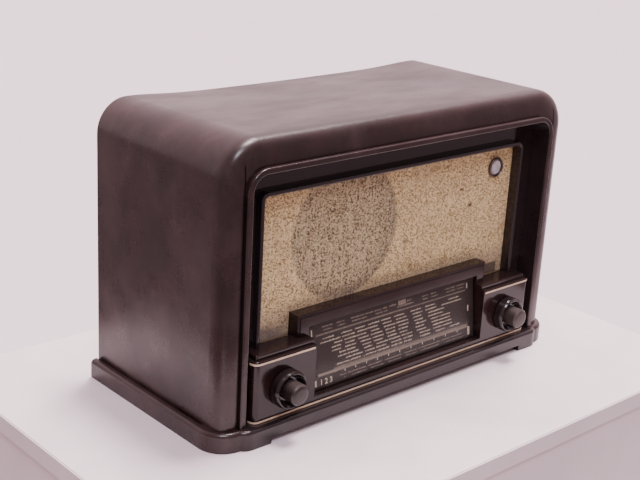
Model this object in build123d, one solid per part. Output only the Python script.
from build123d import *
import os
from math import acos, atan2, cos, degrees, hypot, pi, radians, sin

# Valve table radio in a moulded cabinet.
# +X is to the right seen from the front, +Y points from the front to the back, +Z is up.
# All depths below are measured back from the front lip of the cabinet; save() moves
# every piece so that the origin is under the middle of the whole set.

# ---------------------------------------------------------------- driving dimensions
body_width = 520.0
body_height = 328.0
body_depth = 234.0
wall = 5.0
corner_radius = 44.0
crown_sag = 5.0            # the back edge of the top dips this much in the middle
crown_fall = 3.0           # and its shoulders are this much lower than the front
corner_tighten = 6.0       # the top corners are this much tighter at the back
front_round_x = 23.0       # how far the front edge rounding comes in from the sides
front_round_z = 28.5       # and from the top
front_round_y = 26.0       # depth at which the rounding has run out
shoulder_y = 5.0           # the rounding ends here, the lip stands forward of it
front_squareness = 3.0     # 2 rounds the front edge as a quarter ellipse, more is squarer

lip_half = 236.5
lip_top = 299.0
lip_radius = 27.0
lip_side = 8.0             # width of the lip at the sides and along the top
lip_head = 6.8
recess_radius = 17.0
lip_edge_round = 1.9

band_y = 27.0              # flat band round the grille opening
cloth_y = 31.0             # front of the grille cloth
grille_half = 199.3
grille_top = 262.0
bead_width = 5.0
bead_y = 18.0

plinth_height = 22.0
plinth_overhang = 10.0
plinth_corner = 31.0
plinth_floor = (8.0, 13.0)
strip_half = 243.0
strip_y = -9.8
foot_half = 202.0
foot_gap = 7.4

panel_half = 219.8
panel_top = 98.0
panel_round = 7.0
panel_wall = 4.0
trim_heights = (23.4, 89.7)
trim_size = 1.9
dial_half = 135.5
dial_bottom = 30.5
dial_top = 108.5
hood_half = 150.5
hood_top = 123.2
hood_y = 15.3
glass_lean = 7.5
glass_foot = (8.0, 33.0)   # depth and height of a point on the front of the glass
lamp_x = 143.0             # dial lamps, to the left and right of the glass
lamp_y = 18.8

control_x = 178.0
control_z = 55.0
ring_knob_radius = 21.5
ring_knob_face = -13.0
small_knob_radius = 12.0
small_knob_face = -27.0
inner_shaft = 3.0
sleeve_radius = 5.0
running_gap = 0.05

eye_x = 168.8
eye_z = 236.2
speaker_x = -71.8
speaker_z = 198.5
speaker_hole = 76.6

board_y = 32.0
board_thickness = 6.0
chassis_y = (60.0, 208.0)
chassis_half = 225.0
chassis_z = (24.0, 76.0)
sheet = 1.5

drum_x = 112.0
drum_z = 112.0
disc_radius = 84.0
cord_wheel_radius = 66.0
cord_y = 48.0
cord_radius = 0.5
idler_left_x = -126.0
idler_right_x = 151.0
idler_z = 32.0
idler_radius = 6.0
pointer_travel = pi * cord_wheel_radius
pointer_rest_x = -pointer_travel / 2
rail_y = 40.0
rail_z = 32.0
rail_ends = (-116.0, 157.0)

cover_y = 228.0
cover_thickness = 3.0

front_y = -(body_depth + small_knob_face) / 2
origin_shift = Pos(0, front_y, 0)


# ---------------------------------------------------------------- helpers
def block(x_span, y_span, z_span):
    """Box between two corners."""
    size = [end - start for start, end in (x_span, y_span, z_span)]
    box = Box(*size, align=(Align.MIN, Align.MIN, Align.MIN))
    return Pos(x_span[0], y_span[0], z_span[0]) * box


def bar(x, z, radius, y_span):
    """Round bar along the depth of the set."""
    start, end = y_span
    low = (Align.CENTER, Align.CENTER, Align.MIN)
    return Pos(x, start, z) * Rot(-90, 0, 0) * Cylinder(radius, end - start, align=low)


def post(x, y, radius, z_span):
    """Upright round bar."""
    start, end = z_span
    low = (Align.CENTER, Align.CENTER, Align.MIN)
    return Pos(x, y, start) * Cylinder(radius, end - start, align=low)


def turned(x, z, profile):
    """Turned piece about an axis along the depth; profile is (radius, depth) points."""
    face = make_face(Polyline(*profile, close=True))
    return Pos(x, 0, z) * revolve(face, Axis.Y)


def turned_up(x, y, profile):
    """Turned piece about an upright axis; profile is (radius, height) points."""
    face = make_face(Polyline(*[(r, 0, z) for r, z in profile], close=True))
    return Pos(x, y, 0) * revolve(face, Axis.Z)


def upright_plane(y):
    """Plane facing the front at a given depth, drawn in x and z."""
    return Plane(origin=(0, y, 0), x_dir=(1, 0, 0), z_dir=(0, -1, 0))


def slab(face, y_span):
    """Extrude an outline drawn in x and z between two depths."""
    return extrude(upright_plane(y_span[1]) * face, amount=y_span[1] - y_span[0])


def arch(half, bottom, top, radius, sag=0.0):
    """Outline with rounded top corners; the top can dip by sag in the middle."""
    inner = half - radius
    left = Line((-half, bottom), (-half, top - radius))
    left_corner = CenterArc((-inner, top - radius), radius, 180, -90)
    dip = [(-inner, top), (-0.75 * inner, top - 0.55 * sag), (-0.45 * inner, top - 0.9 * sag)]
    dip += [(0, top - sag)] + [(-x, z) for x, z in reversed(dip)]
    crown = Spline(*dip, tangents=[(1, 0), (1, 0)])
    right_corner = CenterArc((inner, top - radius), radius, 90, -90)
    right = Line((half, top - radius), (half, bottom))
    base = Line((half, bottom), (-half, bottom))
    return make_face([left, left_corner, crown, right_corner, right, base])


def save(node, shape):
    """Write one node, moved into the object's own frame."""
    solids = [origin_shift * solid for solid in shape.solids()]
    export_step(solids[0] if len(solids) == 1 else Compound(solids), f"parts/{node}.step")


# ---------------------------------------------------------------- cabinet
def hull_section(y, inset=0.0, bottom=plinth_height):
    """Cross-section of the cabinet at one depth."""
    reach = max(0.0, (front_round_y - y) / (front_round_y - shoulder_y))
    rounding = 1 - max(0.0, 1 - reach ** front_squareness) ** (1 / front_squareness)
    behind = max(0.0, y - front_round_y) / (body_depth - front_round_y)
    half = body_width / 2 - front_round_x * rounding - inset
    top = body_height - front_round_z * rounding - crown_fall * behind - inset
    radius = corner_radius - front_round_x * rounding * 0.8 - corner_tighten * behind - inset
    face = arch(half, bottom, top, radius, crown_sag * behind)
    return upright_plane(y) * face


def make_cabinet_shell():
    turns = [90, 75, 60, 45, 30, 15, 0]
    depths = [front_round_y - (front_round_y - shoulder_y) * sin(radians(a)) for a in turns]
    shell = loft([hull_section(y) for y in depths])
    shell += loft([hull_section(y) for y in (front_round_y, body_depth)], ruled=True)
    cavity = loft([hull_section(y, wall, 10.0) for y in (cloth_y, body_depth + 1)], ruled=True)
    recess_half = lip_half - lip_side
    recess_top = lip_top - lip_head
    lip = slab(arch(lip_half, plinth_height, lip_top, lip_radius), (0, band_y))
    lip_edges = [e for e in lip.edges() if e.center().Y < 0.01 and e.center().Z > plinth_height + 1]
    lip = fillet(lip_edges, lip_edge_round)
    recess = slab(arch(recess_half, 10, recess_top, recess_radius), (-1, band_y))
    bead = slab(arch(grille_half + bead_width, panel_top + 0.4, grille_top + bead_width, 10),
                (bead_y, band_y))
    opening = slab(arch(grille_half, 10, grille_top, 5), (bead_y - 1, cloth_y + 1))
    bead = bead - opening
    bead_edges = [e for e in bead.edges() if abs(e.center().Y - bead_y) < 0.01]
    bead = fillet([e for e in bead_edges if e.center().Z > panel_top + 2], 1.8)
    shell = shell + lip - cavity - recess - opening + bead
    inner_edges = [e for e in shell.edges()
                   if abs(e.bounding_box().min.Y) < 0.02 and abs(e.bounding_box().max.Y) < 0.02
                   and abs(e.center().X) <= recess_half + 0.1
                   and e.bounding_box().max.Z <= recess_top + 0.1
                   and e.bounding_box().size.Z + e.bounding_box().size.X > 20
                   and e.bounding_box().max.Z > plinth_height + 1]
    shell = fillet(inner_edges, lip_edge_round)
    for lug in cabinet_lugs():
        shell += lug
    return shell


def cabinet_lugs():
    """Blocks on the inner wall for the rear cover and for the screws up from the plinth."""
    lugs = []
    for side in (-1, 1):
        for z in (52.0, 246.0):
            lug = block((238, 256.5), (214, cover_y), (z - 8, z + 8)) - bar(246, z, 1.6, (216, 230))
            lugs.append(lug if side > 0 else mirror(lug, Plane.YZ))
        top_lug = block((112, 128), (214, cover_y), (299, 318.0)) - bar(120, 306, 1.6, (216, 230))
        lugs.append(top_lug if side > 0 else mirror(top_lug, Plane.YZ))
        for y in (48.0, 222.0 - 24):
            foot = block((240, 256.5), (y - 8, y + 8), (plinth_height, 42))
            foot = foot - post(247, y, 1.9, (20, 36))
            lugs.append(foot if side > 0 else mirror(foot, Plane.YZ))
    return lugs


def make_plinth():
    half = body_width / 2 + plinth_overhang
    plan = Pos(0, (body_depth - 4) / 2) * Rectangle(2 * half, body_depth + 4)
    plan = fillet(plan.vertices().group_by(Axis.Y)[0], plinth_corner)
    base = extrude(plan, plinth_height)
    rim = [e for e in base.edges() if e.center().Z > plinth_height - 0.1 and e.center().Y < body_depth - 1]
    base = fillet(rim, 5.0)
    strip = Pos(0, (strip_y + 30) / 2) * RectangleRounded(2 * strip_half, 30 - strip_y, 17)
    strip = extrude(strip, plinth_height)
    strip = fillet([e for e in strip.edges() if e.center().Z > plinth_height - 0.1], 4.5)
    plinth = base + strip
    plinth -= block((-foot_half, foot_half), (strip_y - 1, 22), (-1, foot_gap))
    plinth -= block((-250, 250), (20, 216), (-1, plinth_floor[0]))
    plinth -= block((-250, 250), (36, 226), (plinth_floor[1], plinth_height + 1))
    plinth -= block((-170, 170), (74, 186), (-1, plinth_height))
    groove = block((body_width / 2, body_width / 2 + 2.5), (34, body_depth + 1), (20, 23))
    plinth -= groove
    plinth -= mirror(groove, Plane.YZ)
    for x, y in chassis_bolt_places():
        plinth += post(x, y, 9, (plinth_floor[1] - 1, chassis_z[0]))
        plinth -= post(x, y, 2.7, (0, chassis_z[0] + 1))
    for x, y in cabinet_screw_places():
        plinth += post(x, y, 6.5, (plinth_floor[1] - 1, plinth_height)) & block(
            (-249.9, 249.9), (30, 228), (0, 30))
        plinth -= post(x, y, 2.1, (0, plinth_height + 1))
    return plinth


def chassis_bolt_places():
    return [(x, y) for x in (-205, 205) for y in (84, 186)]


def cabinet_screw_places():
    return [(x, y) for x in (-247, 247) for y in (48, 198)]


def make_chassis_bolts():
    bolts = []
    for x, y in chassis_bolt_places():
        bolts.append(post(x, y, 5, (4.4, plinth_floor[0])) + post(x, y, 2.5, (4.4, 33)))
    return Compound(children=bolts)


def make_cabinet_screws():
    screws = []
    for x, y in cabinet_screw_places():
        shank = post(x, y, 1.8, (4.6, 35))
        head = post(x, y, 2.9, (4.6, plinth_floor[0]))
        screws.append(shank + head)
    return Compound(children=screws)


def make_bottom_cover():
    cover = block((-218, 218), (62, 200), (5.0, plinth_floor[0]))
    for x, y in chassis_bolt_places():
        cover -= post(x, y, 5.6, (4, 9))
    for row in range(3):
        for col in range(9):
            cover -= Pos(-120 + 30 * col, 105 + 26 * row, 6.5) * Cylinder(3.5, 6)
    return cover


def rear_screw_places():
    return [(x, z) for x in (-246, 246) for z in (52, 246)] + [(-120, 306), (120, 306)]


def make_rear_cover():
    cover = extrude(hull_section(cover_y, wall + 1.2, plinth_height + 1), -cover_thickness)
    for x, z in rear_screw_places():
        cover -= bar(x, z, 1.8, (cover_y - 1, cover_y + 5))
    for centre_x in (-120, 0, 120):
        for row in range(6):
            for col in range(6):
                shift = 7 if row % 2 else 0
                x = centre_x - 38.5 + 14 * col + shift
                cover -= bar(x, 150 + 17 * row, 4, (cover_y - 1, cover_y + 5))
    for col in range(14):
        slot = block((-166 + 24 * col, -150 + 24 * col), (cover_y - 1, cover_y + 5), (90, 94))
        cover -= slot
    cover -= block((92, 172), (cover_y - 1, cover_y + 5), (34, 66))
    cover -= block((26, 62), (cover_y - 1, cover_y + 5), (34, 66))
    cover -= bar(-60, 46, 6.0, (cover_y - 1, cover_y + 5))
    return cover


def make_rear_cover_screws():
    screws = []
    for x, z in rear_screw_places():
        head = turned(x, z, [(0, 231), (3.6, 231), (3.6, 232), (2.4, 233.2), (0, 233.2)])
        head -= block((x - 4, x + 4), (232.6, 234), (z - 0.4, z + 0.4))
        screws.append(head + bar(x, z, 1.5, (218, 231.5)))
    return Compound(children=screws)


def make_lead_grommet():
    profile = [(4.0, 225.6), (7.6, 225.6), (7.6, 227.8), (5.8, 227.8), (5.8, 231.2), (7.6, 231.2),
               (7.2, 233.4), (4.0, 233.4)]
    return turned(-60, 46, profile)


# ---------------------------------------------------------------- front: grille, panel, dial
def grille_outline(margin):
    """Board outline with a notch for the dial hood."""
    outline = Pos(0, 191.5) * Rectangle(450 - 2 * margin, 191 - 2 * margin)
    notch = Pos(0, 107) * Rectangle(2 * 147, 28)
    return outline - notch


def make_baffle_board():
    face = grille_outline(0)
    face -= Pos(speaker_x, speaker_z) * Circle(speaker_hole)
    face -= Pos(eye_x, eye_z) * Circle(14.5)
    return slab(face, (board_y, board_y + board_thickness))


def make_speaker_cloth():
    face = grille_outline(2) - Pos(eye_x, eye_z) * Circle(10.4)
    return slab(face, (cloth_y + 0.1, board_y - 0.1))


def make_eye_ring():
    profile = [(9.9, 31.0), (9.9, 28.6), (10.5, 27.8), (11.3, 27.8), (12.1, 28.8), (12.1, 31.0)]
    return turned(eye_x, eye_z, profile)


def panel_plan(grow=0.0):
    """Plan of the control panel, its front corners rounded."""
    half = panel_half + grow
    plan = Pos(0, (band_y - grow) / 2) * Rectangle(2 * half, band_y + grow)
    return fillet(plan.vertices().group_by(Axis.Y)[0], panel_round + grow)


def panel_layer(grow, z_span):
    return Pos(0, 0, z_span[0]) * extrude(panel_plan(grow), z_span[1] - z_span[0])


def trim_layer(height, grow, sink):
    """Thin line round the front of the panel."""
    span = (height - trim_size / 2, height + trim_size / 2)
    line = panel_layer(grow, span) - panel_layer(-sink, (span[0] - 1, span[1] + 1))
    return line & block((-240, 240), (-3, 9), (0, 120))


def tilted(shape):
    """Place a piece drawn against the glass: depth behind its front, height up its face."""
    return Pos(0, glass_foot[0], glass_foot[1]) * Rot(-glass_lean, 0, 0) * shape


def make_control_panel():
    body = panel_layer(0, (plinth_height, 92.6))
    body = fillet([e for e in body.edges()
                   if e.center().Z > 92 and e.center().Y < band_y - 1], 1.6)
    cove = panel_layer(-4.5, (92, panel_top))
    cove = fillet([e for e in cove.edges()
                   if e.center().Z > panel_top - 0.1 and e.center().Y < band_y - 6], 1.4)
    hood = block((-hood_half, hood_half), (hood_y, cloth_y), (panel_top - 8, hood_top))
    front = [e for e in hood.edges() if e.center().Y < hood_y + 0.1 and e.center().Z > panel_top]
    hood = fillet(front, 1.8)
    step_half = hood_half - 3
    step = block((-step_half, step_half), (hood_y - 1.2, hood_y + 3), (panel_top - 8, hood_top - 3.4))
    step_edges = [e for e in step.edges()
                  if e.center().Y < hood_y - 1.1 and e.center().Z > panel_top]
    panel = body + cove + hood + fillet(step_edges, 0.8)
    for height in trim_heights:
        panel -= trim_layer(height, 0.0, 0.7)
    panel -= block((-dial_half, dial_half), (-1, 34), (dial_bottom, dial_top))
    panel -= tilted(block((-140.5, 140.5), (0, 60), (-5, 81.5)))
    bay = block((143, panel_half - panel_wall), (panel_wall, 34), (26, 89))
    panel -= bay
    panel -= mirror(bay, Plane.YZ)
    panel -= tilted(block((-150, 150), (10, 60), (24, 60)))
    for side in (-1, 1):
        panel -= bar(side * control_x, control_z, 6, (-1, 6))
    return panel


def make_trim_lines():
    lower = trim_layer(trim_heights[0], 0.5, 0.7)
    upper = trim_layer(trim_heights[1], 0.5, 0.7)
    upper -= block((-dial_half - 2, dial_half + 2), (-3, 10), (80, 100))
    return Compound(children=[lower] + list(upper.solids()))


def make_dial_glass():
    return tilted(block((-139.5, 139.5), (0, 2), (-4, 80)))


def make_dial_backplate():
    plate = block((-139, 139), (13, 14.2), (2, 79))
    for side in (-1, 1):
        ear = block((139, 146), (13, 14.2), (30, 54))
        plate += ear if side > 0 else mirror(ear, Plane.YZ)
    return tilted(plate)


def make_lamp_holders():
    holders = []
    cup = Cylinder(4.6, 12) - Pos(0, 0, 2) * Cylinder(3.9, 12)
    contact = Cylinder(2.6, 3)
    for side in (-1, 1):
        holder = Pos(side * lamp_x, lamp_y, 42) * cup + Pos(side * lamp_x, lamp_y, 34.5) * contact
        holders.append(tilted(holder))
    return Compound(children=holders)


def make_dial_lamps():
    lamps = []
    for side in (-1, 1):
        lamp = Cylinder(3.6, 13) + Pos(0, 0, 9.2) * Sphere(4.4)
        lamps.append(tilted(Pos(side * lamp_x, lamp_y, 44.9) * lamp))
    return Compound(children=lamps)


# ---------------------------------------------------------------- dial drive
def wheel_loop():
    """Circles that the cord runs round, anticlockwise seen from the front."""
    return [(idler_left_x, idler_z, idler_radius), (idler_right_x, idler_z, idler_radius),
            (drum_x, drum_z, cord_wheel_radius)]


def tangent_points(start, end):
    """Outer tangent of two circles, on the right-hand side of the way from start to end."""
    dx, dz = end[0] - start[0], end[1] - start[1]
    heading = atan2(dz, dx)
    lean = acos((start[2] - end[2]) / hypot(dx, dz))
    angle = heading - lean
    return [(c[0] + c[2] * cos(angle), c[1] + c[2] * sin(angle)) for c in (start, end)]


def make_dial_cord():
    circles = wheel_loop()
    count = len(circles)
    runs = [tangent_points(circles[i], circles[(i + 1) % count]) for i in range(count)]
    pieces = []
    for i, (start, end) in enumerate(runs):
        length = hypot(end[0] - start[0], end[1] - start[1])
        angle = degrees(atan2(end[1] - start[1], end[0] - start[0]))
        low = (Align.CENTER, Align.CENTER, Align.MIN)
        run = Rot(0, 90, 0) * Cylinder(cord_radius, length, align=low)
        pieces.append(Pos(start[0], cord_y, start[1]) * Rot(0, -angle, 0) * run)
        wheel = circles[(i + 1) % count]
        leave = runs[(i + 1) % count][0]
        first = degrees(atan2(end[1] - wheel[1], end[0] - wheel[0]))
        last = degrees(atan2(leave[1] - wheel[1], leave[0] - wheel[0]))
        sweep_angle = (last - first) % 360
        ring = revolve(Plane.XY * Pos(wheel[2], 0) * Circle(cord_radius), Axis.Y, -sweep_angle)
        pieces.append(Pos(wheel[0], cord_y, wheel[1]) * Rot(0, -first, 0) * ring)
    cord = pieces[0]
    for piece in pieces[1:]:
        cord += piece
    return cord


def make_idler(x):
    rim = idler_radius - cord_radius - 0.3
    profile = [(2.0 + running_gap, 45.6), (7.6, 45.6), (7.6, 46.4), (rim, 47.2), (rim, 48.8),
               (7.6, 49.6), (7.6, 50.4), (2.0 + running_gap, 50.4)]
    return turned(x, idler_z, profile)


def make_idler_pins():
    pins = []
    for x in (idler_left_x, idler_right_x):
        profile = [(0, 44.2), (3.4, 44.2), (3.4, 45.3), (2.0, 45.3), (2.0, 50.8), (3.2, 50.8),
                   (3.2, chassis_y[0]), (0, chassis_y[0])]
        pins.append(turned(x, idler_z, profile))
    return Compound(children=pins)


def make_pointer_rail():
    left, right = rail_ends
    route = FilletPolyline((left, chassis_y[0], rail_z), (left, rail_y, rail_z), (right, rail_y, rail_z),
                           radius=4)
    start = Plane(origin=(left, chassis_y[0], rail_z), z_dir=(0, -1, 0))
    return sweep(start * Circle(1.5), path=route)


def make_dial_pointer():
    carriage = block((-6, 6), (36, 43.5), (28, 36)) + block((-6, 6), (43, 50.2), (23.4, 29))
    carriage += block((-3, 3), (13, 37), (29, 30.6))
    carriage -= Pos(0, rail_y, rail_z) * Rot(0, 90, 0) * Cylinder(1.5 + 0.08, 20)
    carriage -= Pos(0, cord_y, idler_z - idler_radius) * Rot(0, 90, 0) * Cylinder(cord_radius + 0.4, 20)
    needle = tilted(block((-0.7, 0.7), (6.2, 7.2), (-2.5, 73)))
    foot = block((-1.5, 1.5), (12.5, 16), (29, 31.2))
    return Pos(pointer_rest_x, 0, 0) * (carriage + needle + foot)


def make_tuning_drum():
    disc = bar(drum_x, drum_z, disc_radius, (51.0, 52.5))
    rim_out = cord_wheel_radius - cord_radius - 0.3
    rim = bar(drum_x, drum_z, rim_out, (46, 51.5)) - bar(drum_x, drum_z, rim_out - 5, (45, 51))
    flange = bar(drum_x, drum_z, 68, (45.0, 46.2)) - bar(drum_x, drum_z, rim_out - 5, (44, 47))
    hub = bar(drum_x, drum_z, 9, (45, 56))
    drum = disc + rim + flange + hub
    for turn in range(6):
        angle = radians(60 * turn)
        drum -= bar(drum_x + 34 * cos(angle), drum_z + 34 * sin(angle), 13, (40, 60))
    return drum - bar(drum_x, drum_z, inner_shaft + 0.01, (40, 60))


def make_tuning_shaft():
    shaft = bar(control_x, control_z, inner_shaft, (-22, 64))
    shaft += bar(control_x, control_z, 8, (49.2, 50.7))
    shaft += bar(control_x, control_z, 8, (52.8, 54.3))
    return shaft


# ---------------------------------------------------------------- controls
def make_small_knob(x):
    profile = [(0, small_knob_face), (7, small_knob_face + 0.4), (10.4, small_knob_face + 1.2),
               (small_knob_radius, small_knob_face + 3), (small_knob_radius - 0.6, -5.4), (0, -5.4)]
    knob = turned(x, control_z, profile)
    return knob - bar(x, control_z, inner_shaft + 0.01, (-22, -5))


def make_ring_knob(x):
    profile = [(sleeve_radius + 0.01, -0.8), (20.6, -0.8), (ring_knob_radius, -1.8),
               (ring_knob_radius, -9.6), (21.0, -11.0), (20.1, -12.6), (19.4, ring_knob_face),
               (18.6, -12.7), (17.8, -11.6), (15.6, -7.4), (14.2, -5.2), (13.4, -4.6),
               (sleeve_radius + 0.01, -4.6)]
    return turned(x, control_z, profile)


def make_sleeve(x, end):
    tube = bar(x, control_z, sleeve_radius, (-4.6, end))
    return tube - bar(x, control_z, inner_shaft + running_gap, (-6, end + 1))


def make_control_bracket():
    plate = block((158, 208), (40, 41.5), (chassis_z[0], 78))
    plate += block((150, 158.5), (36.5, 43.5), (rail_z - 3.5, rail_z + 3.5))
    plate -= Pos(150, rail_y, rail_z) * Rot(0, 90, 0) * Cylinder(1.55, 14.2)
    legs = [(163, 171, 24, 31), (199, 208, 24, 40), (199, 208, 66, 75)]
    for x0, x1, z0, z1 in legs:
        plate += block((x0, x1), (41, chassis_y[0]), (z0, z1))
    plate += bar(control_x, control_z, 8, (41, 44.5))
    return plate - bar(control_x, control_z, sleeve_radius + running_gap, (39, 46))


def make_band_switch_wafer():
    wafer = bar(control_x, control_z, 19, (34, 36)) - bar(control_x, control_z, 6.2, (33, 37))
    for turn in range(9):
        angle = radians(40 * turn)
        wafer += bar(control_x + 16.5 * cos(angle), control_z + 16.5 * sin(angle), 1.2, (33, 38.5))
    for side in (-1, 1):
        wafer += bar(control_x + side * 12, control_z + side * 7, 2, (35.5, 40))
    return wafer


def make_band_switch_rotor():
    rotor = bar(control_x, control_z, 13, (30.5, 32.5)) + block(
        (control_x - 2, control_x + 2), (30.5, 32.5), (control_z, control_z + 15.5))
    return rotor - bar(control_x, control_z, sleeve_radius + 0.01, (30, 33))


def make_tone_control():
    can = bar(-control_x, control_z, 15, (47, chassis_y[0]))
    can -= bar(-control_x, control_z, 13.6, (51.5, 58.5))
    can -= bar(-control_x, control_z, sleeve_radius + running_gap, (46, 54))
    can -= bar(-control_x, control_z, inner_shaft + 0.4, (46, 62))
    lugs = block((-control_x - 6, -control_x + 6), (55, 56), (control_z - 22, control_z - 14.4))
    return can + lugs


def make_tone_wiper():
    wiper = bar(-control_x, control_z, 7, (52.5, 54)) + block(
        (-control_x - 1.5, -control_x + 1.5), (52.5, 54), (control_z, control_z + 12.6))
    return wiper - bar(-control_x, control_z, sleeve_radius + 0.01, (52, 55))


def make_volume_control():
    back = chassis_y[0] + sheet
    can = bar(-control_x, control_z, 16, (back, back + 16))
    can -= bar(-control_x, control_z, 14.6, (back + 4, back + 14.5))
    can -= bar(-control_x, control_z, inner_shaft + running_gap, (back - 1, back + 5))
    lug_span = (-control_x - 7, -control_x + 7)
    lugs = block(lug_span, (back + 9, back + 10), (control_z - 22, control_z - 15.4))
    return can + lugs


def make_volume_shaft():
    shaft = bar(-control_x, control_z, inner_shaft, (-22, 73))
    shaft += block((-control_x - 2, -control_x + 2), (68, 70), (control_z, control_z + 13.4))
    return shaft


# ---------------------------------------------------------------- chassis
def make_chassis():
    x_span = (-chassis_half, chassis_half)
    pan = block(x_span, chassis_y, chassis_z)
    inner = [(x_span[0] + sheet, x_span[1] - sheet), (chassis_y[0] + sheet, chassis_y[1] - sheet)]
    pan -= block(inner[0], inner[1], (chassis_z[0] - 1, chassis_z[1] - sheet))
    for x, y in chassis_bolt_places():
        wide = (x - 12, x_span[1]) if x > 0 else (x_span[0], x + 12)
        pan += block(wide, (y - 12, y + 12), (chassis_z[0], chassis_z[0] + sheet))
        pan -= post(x, y, 2.8, (chassis_z[0] - 1, chassis_z[0] + 3))
    pan -= bar(control_x, control_z, inner_shaft + running_gap, (58, 63))
    pan -= bar(-control_x, control_z, inner_shaft + 0.4, (58, 63))
    for x, y in valve_places():
        pan -= post(x, y, 12, (70, 80))
    for x in socket_places():
        pan -= bar(x, 50, 4.4, (200, 212))
    return pan


def valve_places():
    return [(-112, 176), (-62, 172), (-10, 178), (84, 172)]


def make_valve_sockets():
    sockets = []
    for x, y in valve_places():
        ring = turned_up(x, y, [(8, 68), (11.6, 68), (11.6, 76), (19, 76), (19, 79), (8, 79)])
        sockets.append(ring)
    return Compound(children=sockets)


def make_valve_bases():
    bases = []
    for x, y in valve_places():
        profile = [(0, 70), (7.4, 70), (7.4, 79.3), (15.5, 79.3), (16.5, 81), (16.5, 102), (0, 102)]
        bases.append(turned_up(x, y, profile))
    return Compound(children=bases)


def make_valve_envelopes():
    bulbs = []
    for x, y in valve_places():
        outline = [(0, 102), (14.5, 102), (15.5, 108), (19.5, 122), (19.5, 150), (15, 168), (11, 176),
                   (6, 182), (0, 184)]
        bulbs.append(turned_up(x, y, outline))
    return Compound(children=bulbs)


def make_if_cans():
    cans = []
    for x, y in ((38, 178), (132, 180)):
        can = Pos(x, y, chassis_z[1]) * Box(32, 32, 78, align=(Align.CENTER, Align.CENTER, Align.MIN))
        can = fillet(can.edges().filter_by(Axis.Z), 5)
        can = fillet(can.faces().sort_by(Axis.Z)[-1].edges(), 3)
        cans.append(can - post(x, y, 3, (140, 160)))
    return Compound(children=cans)


def make_transformer_core():
    outer = block((-214, -146), (136, 200), (chassis_z[1], 134))
    outer -= block((-204, -193), (130, 205), (86, 124))
    outer -= block((-167, -156), (130, 205), (86, 124))
    return outer


def make_transformer_winding():
    coil = block((-203.5, -156.5), (126, 210), (86.5, 123.5))
    coil = fillet(coil.edges().filter_by(Axis.X), 9)
    coil -= block((-193.4, -166.6), (135.6, 200.4), (80, 130))
    return coil - block((-230, -130), (135.6, 200.4), (80, 86.4))


def make_smoothing_capacitors():
    cans = []
    profile = [(0, chassis_z[1]), (17.5, chassis_z[1]), (17.5, 158), (16.4, 160.4), (0, 161)]
    for x, y in ((-196, 96), (176, 150)):
        cans.append(turned_up(x, y, profile))
    return Compound(children=cans)


def make_output_transformer():
    core = block((20, 62), (84, 126), (chassis_z[1], 112)) - block((26, 32), (80, 130), (82, 106))
    core -= block((50, 56), (80, 130), (82, 106))
    coil = block((26.3, 55.7), (78, 132), (82.3, 105.7)) - block((32, 50), (84, 126), (78, 110))
    return core + coil


def socket_places():
    return [112, 132, 152]


def make_socket_strip():
    strip = block((98, 166), (chassis_y[1], chassis_y[1] + 3), (38, 62))
    for x in socket_places():
        strip -= bar(x, 50, 3.4, (200, 215))
    return strip


def make_aerial_sockets():
    sockets = []
    for x in socket_places():
        profile = [(2.0, 196), (3.3, 196), (3.3, 211), (4.6, 211), (4.6, 213), (3.3, 213), (3.3, 224),
                   (2.0, 224)]
        tube = turned(x, 50, profile)
        sockets.append(tube + bar(x, 50, 2.6, (193, 196.5)))
    return Compound(children=sockets)


def make_voltage_selector():
    disc = turned(44, 50, [(0, 208), (15, 208), (15, 214), (13, 216), (0, 216)])
    disc -= block((42.8, 45.2), (213.5, 217), (38, 62))
    return disc


# ---------------------------------------------------------------- capacitor
def make_capacitor_frame():
    frame = block((drum_x - 31, drum_x + 31), (68, 134), (chassis_z[1], 79))
    for y in (68, 100, 131.5):
        frame += block((drum_x - 31, drum_x + 31), (y, y + 2.5), (chassis_z[1], 142))
    frame -= bar(drum_x, drum_z, inner_shaft + running_gap, (66, 136))
    return frame


def plate_depths():
    return [start + 3.4 * i for start in (74.5, 106.5) for i in range(7)]


def make_capacitor_rotor():
    shaft = bar(drum_x, drum_z, inner_shaft, (45, 136)) + bar(drum_x, drum_z, 6, (57, 66))
    for y in plate_depths():
        half_cut = block((drum_x - 30, drum_x - 5), (y - 1, y + 2), (80, 140))
        shaft += bar(drum_x, drum_z, 24, (y, y + 1)) - half_cut
    return shaft


def make_capacitor_stator():
    gangs = []
    for start in (74.5, 106.5):
        spine = block((drum_x - 30.5, drum_x - 27), (start - 0.5, start + 22), (drum_z - 20, drum_z + 20))
        for i in range(6):
            y = start + 2.2 - 0.5 + 3.4 * i
            leaf = block((drum_x - 29, drum_x - 1), (y, y + 1), (drum_z - 22, drum_z + 22))
            spine += leaf - bar(drum_x, drum_z, 6, (y - 1, y + 2))
        gangs.append(spine)
    return Compound(children=gangs)


# ---------------------------------------------------------------- loudspeaker and tuning eye
def make_speaker_basket():
    back = board_y + board_thickness
    profile = [(78, back), (91, back), (91, back + 2.5), (80.5, back + 2.5), (80.5, 46), (40, 84),
               (40, 88), (16, 88), (16, 86), (37.5, 86), (37.5, 82.5), (78, 44)]
    basket = turned(speaker_x, speaker_z, profile)
    for turn in range(6):
        window = Pos(60, 64) * Rectangle(24, 60)
        wedge = revolve(window, Axis.Y, 34)
        basket -= Pos(speaker_x, 0, speaker_z) * Rot(0, 60 * turn, 0) * wedge
    return basket


def make_speaker_surround():
    profile = [(71.5, 40.5), (77.7, 40.5), (77.7, 42.5), (71.5, 42.5)]
    return turned(speaker_x, speaker_z, profile)


def make_speaker_cone():
    profile = [(70.6, 41), (70.6, 42), (14.0, 76), (13.3, 76), (13.3, 95), (12.5, 95), (12.5, 74),
               (0, 69), (0, 68), (13.4, 73.2), (68.5, 41)]
    return turned(speaker_x, speaker_z, profile)


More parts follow.
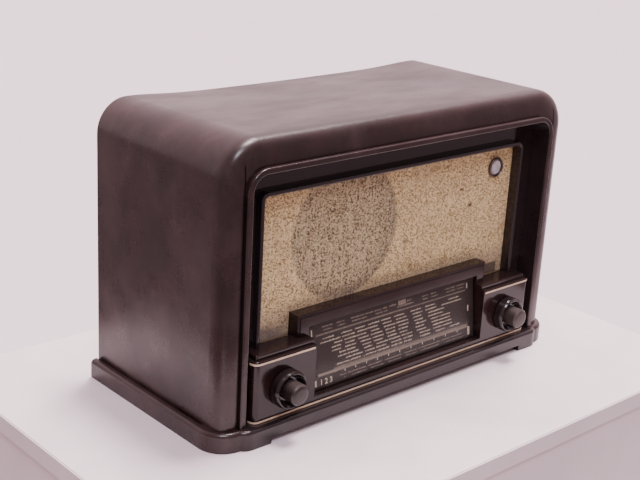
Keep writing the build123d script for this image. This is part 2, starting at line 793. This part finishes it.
def make_speaker_magnet():
    profile = [(0, 90), (11.4, 90), (11.4, 104), (14.6, 104), (14.6, 88), (38, 88), (38, 92),
               (42, 94), (42, 122), (0, 122)]
    return turned(speaker_x, speaker_z, profile)


def make_eye_valve():
    profile = [(0, 29.4), (8.6, 29.6), (9.5, 30.4), (9.5, 36), (13.2, 42), (13.2, 86), (11, 92),
               (14.2, 92), (14.2, 116), (0, 116)]
    return turned(eye_x, eye_z, profile)


def make_eye_clip():
    back = board_y + board_thickness
    z_span = (eye_z - 5, eye_z + 5)
    clip = turned(eye_x, eye_z, [(13.4, 44), (15, 44), (15, 54), (13.4, 54)])
    for side in (-1, 1):
        leg_x = eye_x + side * 14
        foot_span = sorted((leg_x, eye_x + side * 24))
        clip += block((leg_x - 1, leg_x + 1), (back, 46), z_span) - bar(eye_x, eye_z, 13.4, (30, 60))
        clip += block(foot_span, (back, back + 1.2), z_span) - bar(eye_x, eye_z, 14, (30, 60))
    return clip


def make_eye_socket():
    return turned(eye_x, eye_z, [(0, 116), (17, 116), (17, 121), (12, 126), (0, 126)])


# ---------------------------------------------------------------- write the parts
nodes = {
    "cabinet_shell": make_cabinet_shell,
    "plinth": make_plinth,
    "cabinet_screws": make_cabinet_screws,
    "bottom_cover": make_bottom_cover,
    "rear_cover": make_rear_cover,
    "rear_cover_screws": make_rear_cover_screws,
    "lead_grommet": make_lead_grommet,
    "baffle_board": make_baffle_board,
    "speaker_cloth": make_speaker_cloth,
    "control_panel": make_control_panel,
    "trim_lines": make_trim_lines,
    "dial_glass": make_dial_glass,
    "dial_backplate": make_dial_backplate,
    "lamp_holders": make_lamp_holders,
    "dial_lamps": make_dial_lamps,
    "pointer_rail": make_pointer_rail,
    "dial_pointer": make_dial_pointer,
    "dial_cord": make_dial_cord,
    "idler_pins": make_idler_pins,
    "cord_idler_left": lambda: make_idler(idler_left_x),
    "cord_idler_right": lambda: make_idler(idler_right_x),
    "tuning_drum": make_tuning_drum,
    "tuning_shaft": make_tuning_shaft,
    "tuning_knob": lambda: make_small_knob(control_x),
    "band_knob": lambda: make_ring_knob(control_x),
    "band_sleeve": lambda: make_sleeve(control_x, 43.5),
    "control_bracket": make_control_bracket,
    "band_switch_wafer": make_band_switch_wafer,
    "band_switch_rotor": make_band_switch_rotor,
    "volume_knob": lambda: make_small_knob(-control_x),
    "volume_shaft": make_volume_shaft,
    "volume_control": make_volume_control,
    "tone_knob": lambda: make_ring_knob(-control_x),
    "tone_sleeve": lambda: make_sleeve(-control_x, 54),
    "tone_control": make_tone_control,
    "tone_wiper": make_tone_wiper,
    "chassis": make_chassis,
    "chassis_bolts": make_chassis_bolts,
    "valve_sockets": make_valve_sockets,
    "valve_bases": make_valve_bases,
    "valve_envelopes": make_valve_envelopes,
    "if_transformer_cans": make_if_cans,
    "mains_transformer_core": make_transformer_core,
    "mains_transformer_winding": make_transformer_winding,
    "smoothing_capacitors": make_smoothing_capacitors,
    "output_transformer": make_output_transformer,
    "socket_strip": make_socket_strip,
    "aerial_sockets": make_aerial_sockets,
    "voltage_selector": make_voltage_selector,
    "capacitor_frame": make_capacitor_frame,
    "capacitor_rotor": make_capacitor_rotor,
    "capacitor_stator": make_capacitor_stator,
    "speaker_basket": make_speaker_basket,
    "speaker_surround": make_speaker_surround,
    "speaker_cone": make_speaker_cone,
    "speaker_magnet": make_speaker_magnet,
    "eye_ring": make_eye_ring,
    "eye_valve": make_eye_valve,
    "eye_clip": make_eye_clip,
    "eye_socket": make_eye_socket,
}

os.makedirs("parts", exist_ok=True)
for node, make in nodes.items():
    save(node, make())
